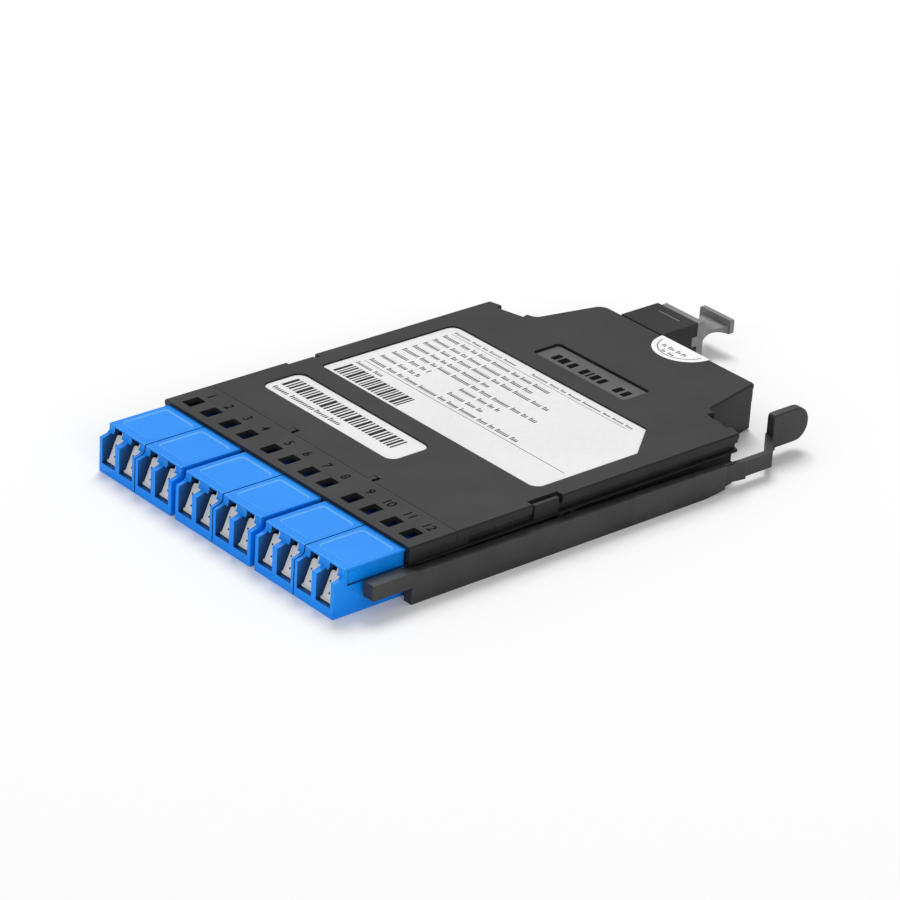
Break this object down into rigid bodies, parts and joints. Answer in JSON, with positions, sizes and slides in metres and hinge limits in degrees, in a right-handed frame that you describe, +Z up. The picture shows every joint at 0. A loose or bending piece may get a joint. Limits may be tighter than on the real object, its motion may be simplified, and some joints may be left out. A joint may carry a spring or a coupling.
{
  "type": "fibre cassette",
  "caption": "Flat black fibre cassette: a row of shuttered blue ports in front, a capped multi-fibre port behind, and a latch lever along one side.",
  "frame": {"origin": "on the underside, at mid width, below the front edge of the ports", "axes": "+X across the ports from port 1 to port 12, +Y from the ports towards the rear, +Z up"},
  "size_m": [0.0896, 0.1588, 0.0117],
  "materials": {
    "black_plastic": "fine satin",
    "plug_black": "satin",
    "cap_grey": "satin",
    "aqua_jacket": "smooth jacket",
    "label_white": "printed film",
    "plate_grey": "satin",
    "port_blue": "semi-gloss",
    "shutter_white": "smooth",
    "ceramic_white": "polished ceramic"
  },
  "bodies": {
    "cassette": {"base_shell": "black_plastic", "top_cover": "black_plastic", "front_bezel": "black_plastic", "rear_adapter": "black_plastic", "rear_inner_plug": "plug_black", "fanout_block": "plug_black", "fibre_bundle": "aqua_jacket", "main_label": "label_white", "small_label": "label_white", "seal_label": "label_white", "marking_plate": "plate_grey", "quad_adapter_1": "port_blue", "quad_adapter_2": "port_blue", "quad_adapter_3": "port_blue", "alignment_sleeve_01": "ceramic_white", "alignment_sleeve_02": "ceramic_white", "alignment_sleeve_03": "ceramic_white", "alignment_sleeve_04": "ceramic_white", "alignment_sleeve_05": "ceramic_white", "alignment_sleeve_06": "ceramic_white", "alignment_sleeve_07": "ceramic_white", "alignment_sleeve_08": "ceramic_white", "alignment_sleeve_09": "ceramic_white", "alignment_sleeve_10": "ceramic_white", "alignment_sleeve_11": "ceramic_white", "alignment_sleeve_12": "ceramic_white", "inner_plug_01": "port_blue", "inner_plug_02": "port_blue", "inner_plug_03": "port_blue", "inner_plug_04": "port_blue", "inner_plug_05": "port_blue", "inner_plug_06": "port_blue", "inner_plug_07": "port_blue", "inner_plug_08": "port_blue", "inner_plug_09": "port_blue", "inner_plug_10": "port_blue", "inner_plug_11": "port_blue", "inner_plug_12": "port_blue"},
    "port_shutter_01": {"port_shutter_01": "shutter_white"},
    "port_shutter_02": {"port_shutter_02": "shutter_white"},
    "port_shutter_03": {"port_shutter_03": "shutter_white"},
    "port_shutter_04": {"port_shutter_04": "shutter_white"},
    "port_shutter_05": {"port_shutter_05": "shutter_white"},
    "port_shutter_06": {"port_shutter_06": "shutter_white"},
    "port_shutter_07": {"port_shutter_07": "shutter_white"},
    "port_shutter_08": {"port_shutter_08": "shutter_white"},
    "port_shutter_09": {"port_shutter_09": "shutter_white"},
    "port_shutter_10": {"port_shutter_10": "shutter_white"},
    "port_shutter_11": {"port_shutter_11": "shutter_white"},
    "port_shutter_12": {"port_shutter_12": "shutter_white"},
    "dust_cap": {"dust_cap": "cap_grey"},
    "latch_lever": {"latch_lever": "black_plastic"}
  },
  "joints": [
    {"name": "shutter_01_hinge", "type": "hinge", "parent": "cassette", "child": "port_shutter_01", "pos_m": [-0.03728, 0.0017, 0.00235], "axis": [-1, 0, 0], "range_deg": [0, 66], "stiffness_Nm_per_rad": 0.00002, "springref_deg": -17.19},
    {"name": "shutter_02_hinge", "type": "hinge", "parent": "cassette", "child": "port_shutter_02", "pos_m": [-0.03103, 0.0017, 0.00235], "axis": [-1, 0, 0], "range_deg": [0, 66], "stiffness_Nm_per_rad": 0.00002, "springref_deg": -17.19},
    {"name": "shutter_03_hinge", "type": "hinge", "parent": "cassette", "child": "port_shutter_03", "pos_m": [-0.02428, 0.0017, 0.00235], "axis": [-1, 0, 0], "range_deg": [0, 66], "stiffness_Nm_per_rad": 0.00002, "springref_deg": -17.19},
    {"name": "shutter_04_hinge", "type": "hinge", "parent": "cassette", "child": "port_shutter_04", "pos_m": [-0.01802, 0.0017, 0.00235], "axis": [-1, 0, 0], "range_deg": [0, 66], "stiffness_Nm_per_rad": 0.00002, "springref_deg": -17.19},
    {"name": "shutter_05_hinge", "type": "hinge", "parent": "cassette", "child": "port_shutter_05", "pos_m": [-0.00962, 0.0017, 0.00235], "axis": [-1, 0, 0], "range_deg": [0, 66], "stiffness_Nm_per_rad": 0.00002, "springref_deg": -17.19},
    {"name": "shutter_06_hinge", "type": "hinge", "parent": "cassette", "child": "port_shutter_06", "pos_m": [-0.00337, 0.0017, 0.00235], "axis": [-1, 0, 0], "range_deg": [0, 66], "stiffness_Nm_per_rad": 0.00002, "springref_deg": -17.19},
    {"name": "shutter_07_hinge", "type": "hinge", "parent": "cassette", "child": "port_shutter_07", "pos_m": [0.00337, 0.0017, 0.00235], "axis": [-1, 0, 0], "range_deg": [0, 66], "stiffness_Nm_per_rad": 0.00002, "springref_deg": -17.19},
    {"name": "shutter_08_hinge", "type": "hinge", "parent": "cassette", "child": "port_shutter_08", "pos_m": [0.00962, 0.0017, 0.00235], "axis": [-1, 0, 0], "range_deg": [0, 66], "stiffness_Nm_per_rad": 0.00002, "springref_deg": -17.19},
    {"name": "shutter_09_hinge", "type": "hinge", "parent": "cassette", "child": "port_shutter_09", "pos_m": [0.01802, 0.0017, 0.00235], "axis": [-1, 0, 0], "range_deg": [0, 66], "stiffness_Nm_per_rad": 0.00002, "springref_deg": -17.19},
    {"name": "shutter_10_hinge", "type": "hinge", "parent": "cassette", "child": "port_shutter_10", "pos_m": [0.02428, 0.0017, 0.00235], "axis": [-1, 0, 0], "range_deg": [0, 66], "stiffness_Nm_per_rad": 0.00002, "springref_deg": -17.19},
    {"name": "shutter_11_hinge", "type": "hinge", "parent": "cassette", "child": "port_shutter_11", "pos_m": [0.03103, 0.0017, 0.00235], "axis": [-1, 0, 0], "range_deg": [0, 66], "stiffness_Nm_per_rad": 0.00002, "springref_deg": -17.19},
    {"name": "shutter_12_hinge", "type": "hinge", "parent": "cassette", "child": "port_shutter_12", "pos_m": [0.03728, 0.0017, 0.00235], "axis": [-1, 0, 0], "range_deg": [0, 66], "stiffness_Nm_per_rad": 0.00002, "springref_deg": -17.19},
    {"name": "lever_flex", "type": "hinge", "parent": "cassette", "child": "latch_lever", "pos_m": [0.0412, 0.062, 0.0036], "axis": [0, 0, 1], "range_deg": [-0.5, 2.2], "stiffness_Nm_per_rad": 0.8},
    {"name": "dust_cap_pull", "type": "slide", "parent": "cassette", "child": "dust_cap", "axis": [0, 1, 0], "range_m": [0, 0.016]}
  ]
}
